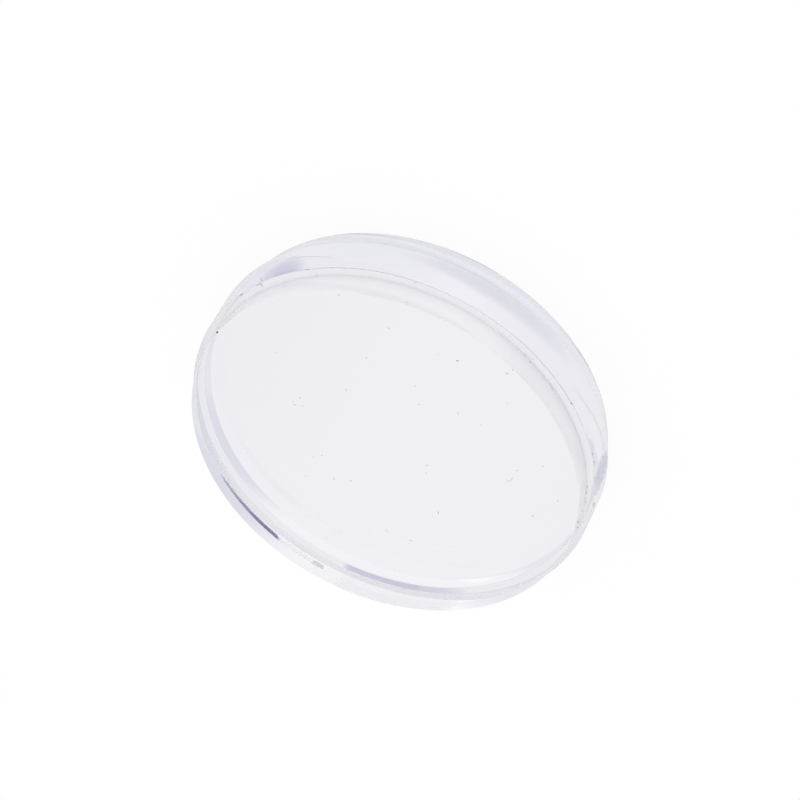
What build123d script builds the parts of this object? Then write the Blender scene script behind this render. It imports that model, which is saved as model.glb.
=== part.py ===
from build123d import *

import os

# A round acrylic blank that a dental mill clamps by its rim and cuts restorations from.
# Frame: millimetres, +Z up along the disc's axis, origin at the centre of the lower face.

# Driving dimensions
rim_diameter = 98.5  # over the clamping rim, the widest part of the disc
rim_height = 10.0  # of the rim, which the holder grips between its two shoulders
shoulder_width = 2.0  # how far the rim stands out from the bosses all round
boss_height = 6.0  # of each boss, above and below the rim
edge_break = 0.1  # chamfer on the disc's four outer edges
root_radius = 0.2  # left by the turning tool where a boss meets its shoulder

# Sizes that follow from them
rim_radius = rim_diameter / 2
boss_radius = rim_radius - shoulder_width
disc_height = rim_height + 2 * boss_height

os.makedirs("parts", exist_ok=True)

# The disc: one solid turned from a single piece, with a boss on each face and the rim centred between them
with BuildPart() as milling_disc:
    # Half of the section, from the axis outwards: the bosses' full height, and the rim half way up it
    with BuildSketch(Plane.XZ):
        with Locations((0, disc_height / 2)):
            Rectangle(boss_radius, disc_height, align=(Align.MIN, Align.CENTER))
            Rectangle(rim_radius, rim_height, align=(Align.MIN, Align.CENTER))
    revolve(axis=Axis.Z)

    # Root radii: of the four circles on the bosses' walls, the two inner ones lie against the rim
    boss_circles = milling_disc.edges().filter_by(GeomType.CIRCLE).group_by(SortBy.RADIUS)[0]
    fillet(boss_circles.sort_by(Axis.Z)[1:-1], root_radius)

    # Broken edges: round the upper and the lower face, and round both corners of the rim
    circles = milling_disc.edges().filter_by(GeomType.CIRCLE)
    levels = circles.group_by(Axis.Z)
    chamfer(levels[0] + levels[-1] + circles.group_by(SortBy.RADIUS)[-1], edge_break)

milling_disc.part.label = "milling_disc"
export_step(milling_disc.part, "parts/milling_disc.step")
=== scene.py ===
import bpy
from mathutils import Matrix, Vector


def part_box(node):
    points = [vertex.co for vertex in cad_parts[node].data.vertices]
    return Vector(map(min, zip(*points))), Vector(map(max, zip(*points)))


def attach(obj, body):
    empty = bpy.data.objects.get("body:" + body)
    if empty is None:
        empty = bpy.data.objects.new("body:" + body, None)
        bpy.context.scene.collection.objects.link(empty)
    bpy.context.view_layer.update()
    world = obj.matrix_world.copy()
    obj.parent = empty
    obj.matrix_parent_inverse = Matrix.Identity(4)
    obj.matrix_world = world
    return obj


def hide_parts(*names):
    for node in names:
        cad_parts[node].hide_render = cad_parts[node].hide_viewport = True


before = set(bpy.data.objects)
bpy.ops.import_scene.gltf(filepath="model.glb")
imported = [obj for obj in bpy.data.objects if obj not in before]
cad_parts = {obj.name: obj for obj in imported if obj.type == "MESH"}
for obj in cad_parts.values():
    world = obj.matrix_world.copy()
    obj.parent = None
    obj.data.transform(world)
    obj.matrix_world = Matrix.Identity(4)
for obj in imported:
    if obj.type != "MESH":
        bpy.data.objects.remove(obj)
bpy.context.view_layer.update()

import math

import bmesh
import bpy
from mathutils import Matrix, Vector
from mathutils.bvhtree import BVHTree

# The camera: a long lens, rolled so that the blank's near side is at the picture's upper right. It was
# fitted to the blank's edges in the photograph, so that a ray through a pixel meets what the pixel shows.
low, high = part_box("milling_disc")
disc_height = high.z - low.z
camera_distance = 0.8158  # metres from the middle of the blank
camera_from_axis = math.radians(45.54)
camera_roll = math.radians(-28.70)
pixels_wide = 800
sensor = 36.0
focal_pixels = 3524.3
aim_right, aim_down = -1.53, 26.23  # from the picture's centre to where the lens points, in pixels
back = Vector((math.sin(camera_from_axis), 0, math.cos(camera_from_axis)))
level_right = Vector((0, -1, 0))
level_up = back.cross(level_right)
right = math.cos(camera_roll) * level_right - math.sin(camera_roll) * level_up
up = math.sin(camera_roll) * level_right + math.cos(camera_roll) * level_up
camera_data = bpy.data.cameras.new("camera")
camera_data.sensor_width = sensor
camera_data.lens = sensor * focal_pixels / pixels_wide
camera_data.shift_x = -aim_right / pixels_wide
camera_data.shift_y = aim_down / pixels_wide
camera = bpy.data.objects.new("camera", camera_data)
bpy.context.scene.collection.objects.link(camera)
camera.rotation_mode = "QUATERNION"
camera.location = Vector((0, 0, disc_height / 2)) + back * camera_distance
camera.rotation_quaternion = Matrix((right, up, back)).transposed().to_quaternion()
bpy.context.scene.camera = camera


def line_of_sight(pixel):
    """The way the camera looks through a pixel, right and down from the photograph's upper left corner."""
    across = pixel[0] - pixels_wide / 2 - aim_right
    upward = pixels_wide / 2 + aim_down - pixel[1]
    return (right * across + up * upward - back * focal_pixels).normalized()


# The blank: a thick puck of clear acrylic (polymethyl methacrylate), cast as sheet and turned to a boss on
# each face, with a clamping rim half way up. Its faces keep the cast polish, and its walls have the lathe's
# fine finish.
mm = 1e-3
rim_radius = (high.x - low.x) / 2
shoulder_width = 2.0 * mm
boss_radius = rim_radius - shoulder_width
rim_height = 10.0 * mm
rim_bottom = (disc_height - rim_height) / 2
rim_top = rim_bottom + rim_height
edge_break = 0.1 * mm
root_radius = 0.2 * mm
root_facets = 5
turned_steps = 720
# Points nearer than this to each other are one, and points nearer than this to a ring are on it
same_place = 0.001 * mm
# Walls whose neighbours turn by less than this are shaded as one round surface
round_angle = math.radians(30)


def on_ring(edge, radius, height):
    """True if both ends of an edge are that far from the disc's axis and that high, in metres."""
    return all(
        abs(vertex.co.xy.length - radius) < same_place and abs(vertex.co.z - height) < same_place
        for vertex in edge.verts
    )


def bevel_rings(shape, rings, size, facets):
    """Bevels the edges that lie on rings, each given as its radius and height. One facet makes a flat."""
    bmesh.ops.bevel(
        shape,
        geom=[edge for edge in shape.edges if any(on_ring(edge, *ring) for ring in rings)],
        offset=size,
        offset_type="OFFSET",
        segments=facets,
        profile=0.5,
        affect="EDGES",
        material=-1,
        clamp_overlap=False,
    )


shape = bmesh.new()
half_section = [
    (0, 0),
    (boss_radius, 0),
    (boss_radius, rim_bottom),
    (rim_radius, rim_bottom),
    (rim_radius, rim_top),
    (boss_radius, rim_top),
    (boss_radius, disc_height),
    (0, disc_height),
]
corners = [shape.verts.new((radius, 0, height)) for radius, height in half_section]
for first, second in zip(corners, corners[1:]):
    shape.edges.new((first, second))
bmesh.ops.spin(
    shape,
    geom=shape.verts[:] + shape.edges[:],
    cent=(0, 0, 0),
    axis=(0, 0, 1),
    angle=math.tau,
    steps=turned_steps,
    use_merge=True,
)
bmesh.ops.remove_doubles(shape, verts=shape.verts, dist=same_place)
outer_rings = [(boss_radius, 0), (boss_radius, disc_height), (rim_radius, rim_bottom), (rim_radius, rim_top)]
root_rings = [(boss_radius, rim_bottom), (boss_radius, rim_top)]
bevel_rings(shape, outer_rings, edge_break, facets=1)
bevel_rings(shape, root_rings, root_radius, root_facets)
bmesh.ops.recalc_face_normals(shape, faces=shape.faces)
blank_mesh = bpy.data.meshes.new("clear_blank")
shape.to_mesh(blank_mesh)
blank_surface = BVHTree.FromBMesh(shape)
shape.free()
for polygon in blank_mesh.polygons:
    polygon.use_smooth = True
blank_mesh.set_sharp_from_angle(angle=round_angle)
blank = bpy.data.objects.new("clear_blank", blank_mesh)
bpy.context.scene.collection.objects.link(blank)


def linear(colour):
    """An sRGB hex colour as the linear red, green, blue and alpha that a socket takes."""
    parts = [int(colour[i : i + 2], 16) / 255 for i in (1, 3, 5)]
    return [p / 12.92 if p <= 0.04045 else ((p + 0.055) / 1.055) ** 2.4 for p in parts] + [1.0]


def add_node(tree, kind, settings=None, links=None):
    """Adds a node. settings are its properties and its sockets' values, and links are the outputs that feed
    its sockets. A socket goes by its name, or by its number where several share a name."""
    node = tree.nodes.new(kind)
    for name, value in (settings or {}).items():
        if isinstance(name, int) or name in node.inputs:
            node.inputs[name].default_value = value
        else:
            setattr(node, name, value)
    for name, output in (links or {}).items():
        tree.links.new(output, node.inputs[name])
    return node


# The Mix node's sockets for colours, by number
colour_from, colour_to, colour_result = 6, 7, 2
acrylic_ior = 1.49


def soft_patch(tree, place, radius, way, height, half_length, half_height, hardness, depth):
    """An output that is depth in the middle of a patch and falls to nothing at its edge. The patch lies at a
    radius in metres, way degrees round from +X. Its height, half length and half height are in mm. With no
    hardness it is oval and soft all over. With more, up to 1, it is squarer and falls off near its edge."""
    way = math.radians(way)
    squeezed = add_node(
        tree,
        "ShaderNodeMapping",
        {
            "vector_type": "TEXTURE",
            "Location": (radius * math.cos(way), radius * math.sin(way), height * mm),
            "Scale": (half_length * mm, half_length * mm, half_height * mm),
        },
        {"Vector": place},
    ).outputs["Vector"]
    if hardness:
        squeezed = add_node(
            tree, "ShaderNodeVectorMath", {"operation": "MULTIPLY"}, {0: squeezed, 1: squeezed}
        ).outputs["Vector"]
    off_centre = add_node(
        tree, "ShaderNodeVectorMath", {"operation": "DOT_PRODUCT"}, {0: squeezed, 1: squeezed}
    )
    cover = add_node(
        tree,
        "ShaderNodeMapRange",
        {
            "interpolation_type": "SMOOTHSTEP",
            "From Min": 1.0,
            "From Max": hardness,
            "To Min": 0.0,
            "To Max": depth,
        },
        {"Value": off_centre.outputs["Value"]},
    )
    return cover.outputs["Result"]


def clear_acrylic(name, colour, roughness, veil=0.0, radius=0.0, painted_shade=(), painted_outer_shade=()):
    """Clear acrylic of one finish. veil is how much of the light from outside its fine grooves scatter. On a
    wall of the given radius, two sets of patches of painted shade darken it: the first seen from both sides,
    the second from outside only. Each is a row of what soft_patch takes after the radius, then its colour."""
    material = bpy.data.materials.new(name)
    material.use_nodes = True
    tree = material.node_tree
    tree.nodes.clear()
    surface = add_node(
        tree,
        "ShaderNodeBsdfPrincipled",
        {
            "Base Color": linear(colour),
            "IOR": acrylic_ior,
            "Roughness": roughness,
            "Transmission Weight": 1.0,
        },
    )
    add_node(tree, "ShaderNodeOutputMaterial", links={"Surface": surface.outputs["BSDF"]})
    if not (veil or painted_shade or painted_outer_shade):
        return material
    side = add_node(tree, "ShaderNodeNewGeometry")
    outside = add_node(
        tree, "ShaderNodeMath", {"operation": "SUBTRACT", 0: 1.0}, {1: side.outputs["Backfacing"]}
    ).outputs[0]
    hidden = add_node(tree, "ShaderNodeMath", {"operation": "MULTIPLY", 1: veil}, {0: outside}).outputs[0]
    tint = None
    # Each patch of painted shade tints the colour towards its own and hides that much of the clear acrylic
    for patch in (*painted_shade, *painted_outer_shade):
        *where, shade_colour = patch
        place = add_node(tree, "ShaderNodeTexCoord").outputs["Object"]
        cover = soft_patch(tree, place, radius, *where)
        if patch in painted_outer_shade:
            cover = add_node(
                tree, "ShaderNodeMath", {"operation": "MULTIPLY"}, {0: cover, 1: outside}
            ).outputs[0]
        over = add_node(
            tree,
            "ShaderNodeMix",
            {"data_type": "RGBA", colour_from: linear(colour), colour_to: linear(shade_colour)},
            {0: cover},
        )
        if tint:
            tree.links.new(tint, over.inputs[colour_from])
        tint = over.outputs[colour_result]
        hidden = add_node(tree, "ShaderNodeMath", {"operation": "MAXIMUM"}, {0: hidden, 1: cover}).outputs[0]
    if tint:
        tree.links.new(tint, surface.inputs["Base Color"])
    left_clear = add_node(tree, "ShaderNodeMath", {"operation": "SUBTRACT", 0: 1.0}, {1: hidden})
    tree.links.new(left_clear.outputs[0], surface.inputs["Transmission Weight"])
    return material


# Painted shade on the rim's far side: a dark painted reflection in a streak, with a paler tail and a blot
# after it, and a faint darkening further round. Each row has the degrees round from +X, then height, half
# length and half height in mm, hardness, depth and colour.
streak_height, streak_half_height = 12.3, 2.2
rim_painted_shade = [
    (159.8, streak_height, 5.4, streak_half_height, 0.3, 1.0, "#A4A4CE"),
    (156.2, streak_height, 9.0, streak_half_height, 0.1, 0.9, "#A4A4CE"),
    (151.8, streak_height, 10.0, streak_half_height, 0.1, 0.75, "#A4A4CE"),
    (172, streak_height, 6.5, streak_half_height, 0.7, 0.1, "#9090A0"),
    (178.8, streak_height, 1.6, streak_half_height, 0.8, 0.4, "#8080A0"),
    (203, 12.0, 14.2, 9.0, 0.9, 0.05, "#9090A0"),
]
# Painted shade on the rim's near side, seen from outside only: a haze low down, and a darker patch beyond
# each end of it
rim_painted_outer_shade = [
    (-8, 8.2, 25.0, 3.8, 0.0, 0.18, "#6E6E98"),
    (-68, 11.6, 6.0, 7.0, 0.0, 0.5, "#4848A0"),
    (54, 14.3, 7.6, 6.0, 0.0, 0.27, "#4848A0"),
]
# Painted shade on the upper boss: a faint darkening on the far side, and a darker stretch on the near side,
# seen from outside only
upper_boss_painted_shade = [(203, 19.0, 15.0, 9.0, 0.5, 0.1, "#9494AC")]
upper_boss_painted_outer_shade = [(-38, 19.0, 26.0, 12.0, 0.0, 0.1, "#8C8C9C")]
# Painted shade on the lower boss, seen from outside only: the foot of one of the rim's near-side patches
lower_boss_painted_outer_shade = [(-77, 3.0, 6.0, 6.0, 0.0, 0.36, "#4848A0")]
# Cast acrylic, its faces as they left the glass mould
polished = clear_acrylic("cast_clear_acrylic", "#FFFFFF", 0.0)
# Turned acrylic: the lathe's feed leaves the walls and shoulders finely grooved, which veils them. The
# lower boss's wall and the lower shoulder are the clearest. The rim's and the bosses' walls also carry the
# patches of painted shade above.
rim_wall = clear_acrylic(
    "turned_rim_clear_acrylic", "#F4F4F8", 0.03, 0.5, rim_radius, rim_painted_shade, rim_painted_outer_shade
)
upper_boss_wall = clear_acrylic(
    "turned_upper_clear_acrylic", "#F3F3F7", 0.06, 0.8, boss_radius, upper_boss_painted_shade, upper_boss_painted_outer_shade
)
lower_boss_wall = clear_acrylic(
    "turned_lower_clear_acrylic", "#FBFBFD", 0.02, 0.22, boss_radius, painted_outer_shade=lower_boss_painted_outer_shade
)
upper_shoulder = clear_acrylic("faced_upper_clear_acrylic", "#F6F6F9", 0.06, 0.5)
lower_shoulder = clear_acrylic("faced_lower_clear_acrylic", "#F4F4F5", 0.02)
# Filed acrylic: the broken edges of the rim, left matt
rim_edge = clear_acrylic("filed_clear_acrylic", "#E0E0E6", 0.25)
finishes = [polished, rim_wall, upper_boss_wall, lower_boss_wall, upper_shoulder, lower_shoulder, rim_edge]
for finish in finishes:
    blank_mesh.materials.append(finish)
# The least share of up or down in a level face's normal
flat = 0.999
for polygon in blank_mesh.polygons:
    from_axis = polygon.center.xy.length
    on_upper_half = polygon.center.z > disc_height / 2
    tilt = abs(polygon.normal.z)
    if from_axis > rim_radius - edge_break:
        finish = rim_wall if tilt < 1 - flat else rim_edge
    elif tilt > flat and from_axis > boss_radius:
        finish = upper_shoulder if on_upper_half else lower_shoulder
    elif tilt > flat and from_axis < boss_radius - edge_break:
        finish = polished
    else:
        finish = upper_boss_wall if on_upper_half else lower_boss_wall
    polygon.material_index = finishes.index(finish)
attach(blank, "root")
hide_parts("milling_disc")

# Swarf: chips and dust of acrylic that the turning left on the upper face, the walls and the rim's edge,
# with the hairline nicks in that edge. Each is a stroke between two pixels of the photograph, right and down
# from its upper left corner, and lies on the surface that the camera sees there.
flakes = [
    ((316.7, 275.0), (317.1, 275.0)),
    ((338.8, 294.9), (339.2, 294.9)),
    ((456.4, 360.6), (458.6, 360.8)),
    ((410.8, 540.2), (411.2, 540.6)),
    ((350.8, 480.6), (351.2, 480.8)),
    ((577.6, 521.8), (578.2, 522.4)),
    ((570.8, 402.4), (572.2, 404.2)),
    ((592.0, 453.8), (592.6, 454.8)),
    ((593.6, 461.6), (594.0, 462.6)),
    ((595.4, 477.6), (595.6, 478.4)),
    ((594.2, 502.6), (593.4, 507.0)),
    ((307.2, 269.8), (308.4, 269.6)),
]
chips = [
    ((284.4, 285.9), (284.8, 285.9)),
    ((388.6, 327.8), (389.2, 328.2)),
    ((366.0, 357.6), (366.6, 358.0)),
    ((299.6, 397.4), (300.2, 398.0)),
    ((419.0, 404.4), (419.4, 404.4)),
    ((506.4, 373.4), (508.4, 373.8)),
    ((512.4, 369.6), (512.8, 370.0)),
    ((516.8, 470.2), (517.4, 470.4)),
    ((557.6, 500.8), (558.2, 501.0)),
    ((532.6, 516.2), (533.2, 515.6)),
    ((577.4, 527.4), (578.2, 527.8)),
    ((586.0, 492.0), (586.6, 492.6)),
    ((585.8, 501.8), (586.2, 502.2)),
    ((602.8, 448.6), (603.0, 449.4)),
    ((602.8, 456.6), (603.4, 457.2)),
    ((601.6, 478.6), (602.2, 479.2)),
    ((595.2, 493.6), (595.4, 494.4)),
    ((239.8, 295.4), (242.2, 293.8)),
]
dust = [
    ((275.6, 352.4), (276.2, 353.0)),
    ((293.8, 404.0), (296.0, 405.4)),
    ((292.4, 401.0), (293.2, 401.8)),
    ((302.2, 405.4), (302.6, 406.2)),
    ((438.0, 353.8), (438.4, 353.8)),
    ((506.8, 402.8), (507.4, 403.0)),
    ((542.4, 466.0), (543.4, 466.6)),
    ((437.8, 510.8), (438.8, 514.2)),
    ((410.0, 543.4), (410.2, 543.6)),
    ((321.4, 455.2), (322.6, 455.8)),
    ((327.0, 538.0), (327.6, 538.4)),
    ((532.6, 358.6), (533.0, 359.2)),
    ((587.2, 485.4), (587.8, 487.8)),
    ((581.6, 510.2), (582.2, 511.4)),
    ((599.2, 488.6), (599.6, 489.2)),
    ((306.0, 246.0), (306.4, 246.4)),
    ((260.6, 283.8), (263.4, 277.8)),
    ((260.6, 283.8), (262.4, 286.8)),
    ((255.8, 285.7), (260.6, 283.8)),
]
hairs = [
    ((345.0, 389.2), (346.6, 390.2)),
    ((345.4, 391.4), (346.6, 390.2)),
    ((414.8, 385.2), (416.2, 386.8)),
    ((421.4, 411.0), (421.8, 411.6)),
    ((457.2, 412.2), (458.8, 414.8)),
    ((506.0, 479.6), (508.6, 481.6)),
    ((508.6, 481.6), (511.2, 480.0)),
    ((511.2, 480.0), (513.0, 477.2)),
    ((304.8, 475.2), (306.2, 476.0)),
    ((312.4, 456.0), (313.2, 456.6)),
    ((333.2, 477.2), (334.8, 480.2)),
    ((385.6, 529.2), (387.4, 532.0)),
    ((425.2, 464.8), (428.6, 465.6)),
    ((425.6, 473.4), (426.8, 472.0)),
    ((479.8, 424.6), (481.4, 424.8)),
    ((405.4, 302.2), (408.6, 303.6)),
    ((529.4, 361.4), (530.4, 362.6)),
    ((524.0, 353.8), (526.0, 356.6)),
    ((549.4, 383.4), (550.6, 384.6)),
    ((561.2, 387.0), (562.0, 388.2)),
    ((343.4, 268.8), (346.0, 268.8)),
    ((413.8, 282.0), (416.4, 283.0)),
]
black_speck = [((217.6, 332.6), (218.4, 333.2))]


def lay_strokes(name, strokes, width, flatness, dark, pale, roughness):
    """One piece of small chips, each lying on the blank along its stroke. Its matt material is mottled
    between a dark and a pale tone."""
    shape = bmesh.new()
    for start, end in strokes:
        first, facing, _, _ = blank_surface.ray_cast(camera.location, line_of_sight(start))
        last, _, _, _ = blank_surface.ray_cast(camera.location, line_of_sight(end))
        across = facing.cross(last - first).normalized()
        thickness = width * flatness
        turn = Matrix((across.cross(facing), across, facing)).transposed().to_4x4()
        size = Matrix.Diagonal(((last - first).length + width, width, thickness, 1.0))
        centre = Matrix.Translation((first + last) / 2 + facing * thickness / 2)
        bmesh.ops.create_icosphere(shape, subdivisions=2, radius=0.5, matrix=centre @ turn @ size)
    mesh = bpy.data.meshes.new(name)
    shape.to_mesh(mesh)
    shape.free()
    material = bpy.data.materials.new(name)
    material.use_nodes = True
    tree = material.node_tree
    tree.nodes.clear()
    place = add_node(tree, "ShaderNodeTexCoord")
    mottle = add_node(tree, "ShaderNodeTexNoise", {"Scale": 1 / width}, {"Vector": place.outputs["Object"]})
    tone = add_node(
        tree,
        "ShaderNodeMix",
        {"data_type": "RGBA", colour_from: linear(dark), colour_to: linear(pale)},
        {0: mottle.outputs["Fac"]},
    )
    surface = add_node(
        tree,
        "ShaderNodeBsdfPrincipled",
        {"Roughness": roughness},
        {"Base Color": tone.outputs[colour_result]},
    )
    add_node(tree, "ShaderNodeOutputMaterial", links={"Surface": surface.outputs["BSDF"]})
    mesh.materials.append(material)
    piece = bpy.data.objects.new(name, mesh)
    bpy.context.scene.collection.objects.link(piece)
    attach(piece, "root")


# Acrylic swarf, greyed by what it has picked up
lay_strokes("acrylic_flakes", flakes, 0.22 * mm, 0.5, "#505060", "#80808F", 0.7)
lay_strokes("acrylic_chips", chips, 0.17 * mm, 0.5, "#505060", "#80808F", 0.7)
lay_strokes("acrylic_dust", dust, 0.12 * mm, 0.5, "#5C5C6C", "#8C8C9C", 0.7)
lay_strokes("acrylic_hairs", hairs, 0.085 * mm, 0.5, "#6C6C7C", "#9C9CAC", 0.7)
# One black speck, taken for carbon, at the left end of the upper face
lay_strokes("carbon_speck", black_speck, 0.5 * mm, 0.9, "#060608", "#101014", 0.5)

# The floor: a plain white sheet that the blank lies on, and that keeps a little of its shadow. What the
# blank refracts comes from the studio round it, not from the floor.
air_gap = 0.05 * mm
floor_half = 6.0  # metres
shadow_share = 0.08
floor_shape = bmesh.new()
bmesh.ops.create_grid(floor_shape, x_segments=1, y_segments=1, size=floor_half)
bmesh.ops.translate(floor_shape, verts=floor_shape.verts, vec=(0, 0, -air_gap))
floor_mesh = bpy.data.meshes.new("floor")
floor_shape.to_mesh(floor_mesh)
floor_shape.free()
floor = bpy.data.objects.new("floor", floor_mesh)
bpy.context.scene.collection.objects.link(floor)
floor.visible_transmission = False
# Matt white paper, which mostly shines by itself to the camera, so that the picture's ground comes out white
paper = bpy.data.materials.new("white_paper")
paper.use_nodes = True
tree = paper.node_tree
tree.nodes.clear()
matt = add_node(tree, "ShaderNodeBsdfDiffuse", {"Color": linear("#FFFFFF")})
lit = add_node(tree, "ShaderNodeEmission", {"Color": linear("#FFFFFF"), "Strength": 1.0})
seen = add_node(tree, "ShaderNodeLightPath")
share = add_node(
    tree,
    "ShaderNodeMath",
    {"operation": "MULTIPLY", 1: 1 - shadow_share},
    {0: seen.outputs["Is Camera Ray"]},
)
sheet = add_node(
    tree,
    "ShaderNodeMixShader",
    links={0: share.outputs[0], 1: matt.outputs["BSDF"], 2: lit.outputs["Emission"]},
)
add_node(tree, "ShaderNodeOutputMaterial", links={"Surface": sheet.outputs["Shader"]})
floor_mesh.materials.append(paper)

# The floor's shade: an arc of shadow on the floor round the foot of the blank's far side. It is seen only
# through the blank, as the violet band in front of the far rim.
shade_height = 0.02 * mm
# The arc is moved this far away from the near side
shade_out = 6.5 * mm
shade_radius = (rim_radius + boss_radius) / 2
shade_half_width = 2.5 * mm
shade_start, shade_end = math.radians(180), math.radians(232)
shade_steps = 60
shade_shape = bmesh.new()
inner = shade_shape.verts.new((shade_radius - shade_half_width, 0, shade_height))
outer = shade_shape.verts.new((shade_radius + shade_half_width, 0, shade_height))
edge = shade_shape.edges.new((inner, outer))
bmesh.ops.rotate(shade_shape, verts=shade_shape.verts, matrix=Matrix.Rotation(shade_start, 3, "Z"))
bmesh.ops.spin(
    shade_shape,
    geom=[inner, outer, edge],
    axis=(0, 0, 1),
    angle=shade_end - shade_start,
    steps=shade_steps,
)
bmesh.ops.translate(shade_shape, verts=shade_shape.verts, vec=(-shade_out, 0, 0))
shade_mesh = bpy.data.meshes.new("floor_shade")
shade_shape.to_mesh(shade_mesh)
shade_shape.free()
shade = bpy.data.objects.new("floor_shade", shade_mesh)
bpy.context.scene.collection.objects.link(shade)
shade.visible_camera = False
shade.visible_diffuse = False
shade.visible_glossy = False
shade.visible_shadow = False
# The same paper in shadow, with nothing of it outside the two patches that the shadow is made of
shadow = bpy.data.materials.new("paper_in_shadow")
shadow.use_nodes = True
tree = shadow.node_tree
tree.nodes.clear()
place = add_node(tree, "ShaderNodeTexCoord")
moved = add_node(
    tree,
    "ShaderNodeVectorMath",
    {"operation": "ADD", 1: (shade_out, 0, 0)},
    {0: place.outputs["Object"]},
).outputs["Vector"]
core = soft_patch(
    tree, moved, shade_radius, way=197.5, height=0, half_length=10.5, half_height=9, hardness=0.3, depth=1
)
tail = soft_patch(
    tree, moved, shade_radius, way=207, height=0, half_length=16, half_height=9, hardness=0, depth=0.75
)
cover = add_node(tree, "ShaderNodeMath", {"operation": "MAXIMUM"}, {0: core, 1: tail})
clear = add_node(tree, "ShaderNodeBsdfTransparent")
dim = add_node(tree, "ShaderNodeEmission", {"Color": linear("#CDCDE0"), "Strength": 1.0})
mixed = add_node(
    tree,
    "ShaderNodeMixShader",
    links={0: cover.outputs[0], 1: clear.outputs["BSDF"], 2: dim.outputs["Emission"]},
)
add_node(tree, "ShaderNodeOutputMaterial", links={"Surface": mixed.outputs["Shader"]})
shade_mesh.materials.append(shadow)

# The studio: a white tent that lights everything evenly. Rays that leave the blank see its cloth, with the
# soft dim places of the room behind it, and rays that glance off the blank see the room in front.
world = bpy.data.worlds.new("studio")
bpy.context.scene.world = world
world.use_nodes = True
# The tent is nearly even all over, so there is no light to aim at
world.cycles.sampling_method = "NONE"
tree = world.node_tree
tree.nodes.clear()
way = add_node(tree, "ShaderNodeTexCoord")
heights = add_node(tree, "ShaderNodeSeparateXYZ", links={"Vector": way.outputs["Generated"]})
# The cloth's tone changes from the lower one to the upper one between this far below level and as far above
blend = 0.5
overhead = add_node(
    tree,
    "ShaderNodeMapRange",
    {"interpolation_type": "SMOOTHSTEP", "From Min": -blend, "From Max": blend},
    {"Value": heights.outputs["Z"]},
)
cloth = add_node(
    tree,
    "ShaderNodeMix",
    {"data_type": "RGBA", colour_from: linear("#F7F6FA"), colour_to: linear("#F2F2F6")},
    {0: overhead.outputs["Result"]},
)
seen_cloth = cloth.outputs[colour_result]
# Each dim or bright place's way round from +X, its height and its reach in degrees, and its tone
places = [
    (275, -42, 45, "#DDDDE9"),
    (142, -42, 34, "#E9E9F0"),
    (210, -44, 22, "#E6E6EE"),
    (86, -42, 10, "#FFFFFF"),
    (168, 47, 34, "#E7E7EF"),
    (212, 46, 24, "#E2E2EA"),
]
for turn, height, reach, tone in places:
    turn, height, reach = math.radians(turn), math.radians(height), math.radians(reach)
    level = math.cos(height)
    middle = (level * math.cos(turn), level * math.sin(turn), math.sin(height))
    near = add_node(
        tree,
        "ShaderNodeVectorMath",
        {"operation": "DOT_PRODUCT", 1: middle},
        {0: way.outputs["Generated"]},
    )
    soft = add_node(
        tree,
        "ShaderNodeMapRange",
        {"interpolation_type": "SMOOTHSTEP", "From Min": math.cos(reach), "From Max": 1.0},
        {"Value": near.outputs["Value"]},
    )
    seen_cloth = add_node(
        tree,
        "ShaderNodeMix",
        {"data_type": "RGBA", colour_to: linear(tone)},
        {0: soft.outputs["Result"], colour_from: seen_cloth},
    ).outputs[colour_result]
open_white = add_node(tree, "ShaderNodeBackground", {"Color": linear("#FFFFFF"), "Strength": 1.0})
dim_room = add_node(tree, "ShaderNodeBackground", {"Color": linear("#AAAAB2"), "Strength": 1.0})
tent_cloth = add_node(tree, "ShaderNodeBackground", {"Strength": 1.0}, {"Color": seen_cloth})
seen = add_node(tree, "ShaderNodeLightPath")
reflected = add_node(
    tree,
    "ShaderNodeMixShader",
    links={0: seen.outputs["Is Glossy Ray"], 1: open_white.outputs[0], 2: dim_room.outputs[0]},
)
refracted = add_node(
    tree,
    "ShaderNodeMixShader",
    links={0: seen.outputs["Is Transmission Ray"], 1: reflected.outputs[0], 2: tent_cloth.outputs[0]},
)
add_node(tree, "ShaderNodeOutputWorld", links={"Surface": refracted.outputs[0]})

# Colours come out as they are written, and rays may turn often enough inside the blank to find their way out
scene = bpy.context.scene
scene.view_settings.view_transform = "Standard"
scene.cycles.max_bounces = 32
scene.cycles.glossy_bounces = 24
scene.cycles.transmission_bounces = 24
